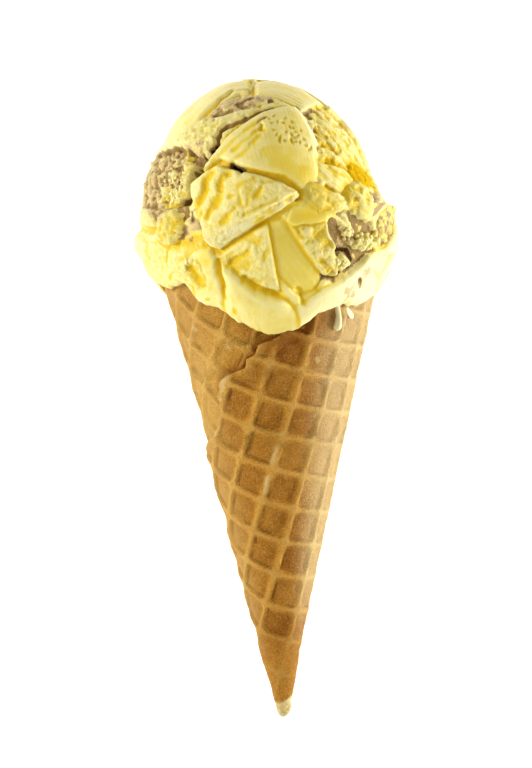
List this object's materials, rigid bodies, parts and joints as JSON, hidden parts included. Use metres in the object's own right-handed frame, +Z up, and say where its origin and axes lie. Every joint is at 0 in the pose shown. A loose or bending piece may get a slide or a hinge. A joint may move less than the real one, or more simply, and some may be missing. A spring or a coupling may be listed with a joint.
{
  "type": "ice cream waffle cone",
  "caption": "Rolled waffle cone filled and topped with a folded scoop of yellow ice cream rippled with tan, lying on its back.",
  "frame": {"origin": "middle of the footprint, on the surface the cone lies on", "axes": "+Y along the cone from its tip to the scoop, +X to the right of the shown side, +Z up, out of the shown side"},
  "size_m": [0.0749, 0.1774, 0.0763],
  "materials": {
    "waffle": "baked, matt, browned in the pits and paler on the ribs",
    "ice_cream": "soft yellow with tan ripple, smooth where scooped and crumbly where torn"
  },
  "bodies": {
    "root": {"waffle_cone": "waffle", "ice_cream": "ice_cream"}
  },
  "joints": []
}
